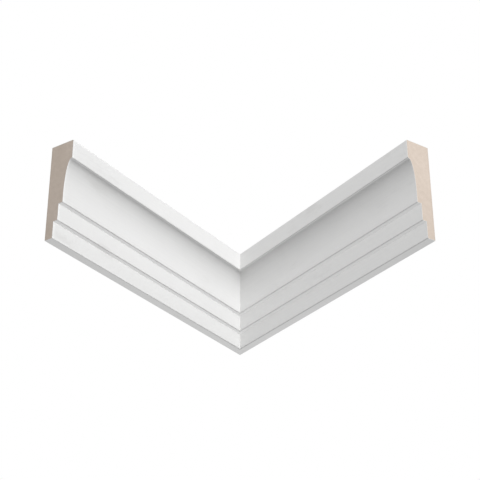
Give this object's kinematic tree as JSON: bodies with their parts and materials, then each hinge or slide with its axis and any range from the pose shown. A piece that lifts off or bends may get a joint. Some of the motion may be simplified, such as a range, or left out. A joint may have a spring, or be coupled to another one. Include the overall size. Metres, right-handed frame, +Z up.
{
  "type": "cornice moulding length",
  "caption": "Cove cornice moulding with a tall fascia and stepped foot, in straight lengths mitred together as an inside corner under a ceiling.",
  "frame": {"origin": "middle of the corner's box, on the plane of the moulding's flat underside", "axes": "+Z up towards the ceiling; +Y towards the wall corner; +X to the right of someone who looks into the corner; the mitre lies in the YZ plane"},
  "size_m": [0.3372, 0.262, 0.095],
  "materials": {
    "primed_board": "satin white primer on the moulded face, top and underside; bare beige fibreboard on the cut ends and the back"
  },
  "bodies": {
    "root": {"left_length": "primed_board", "right_length": "primed_board"}
  },
  "joints": []
}
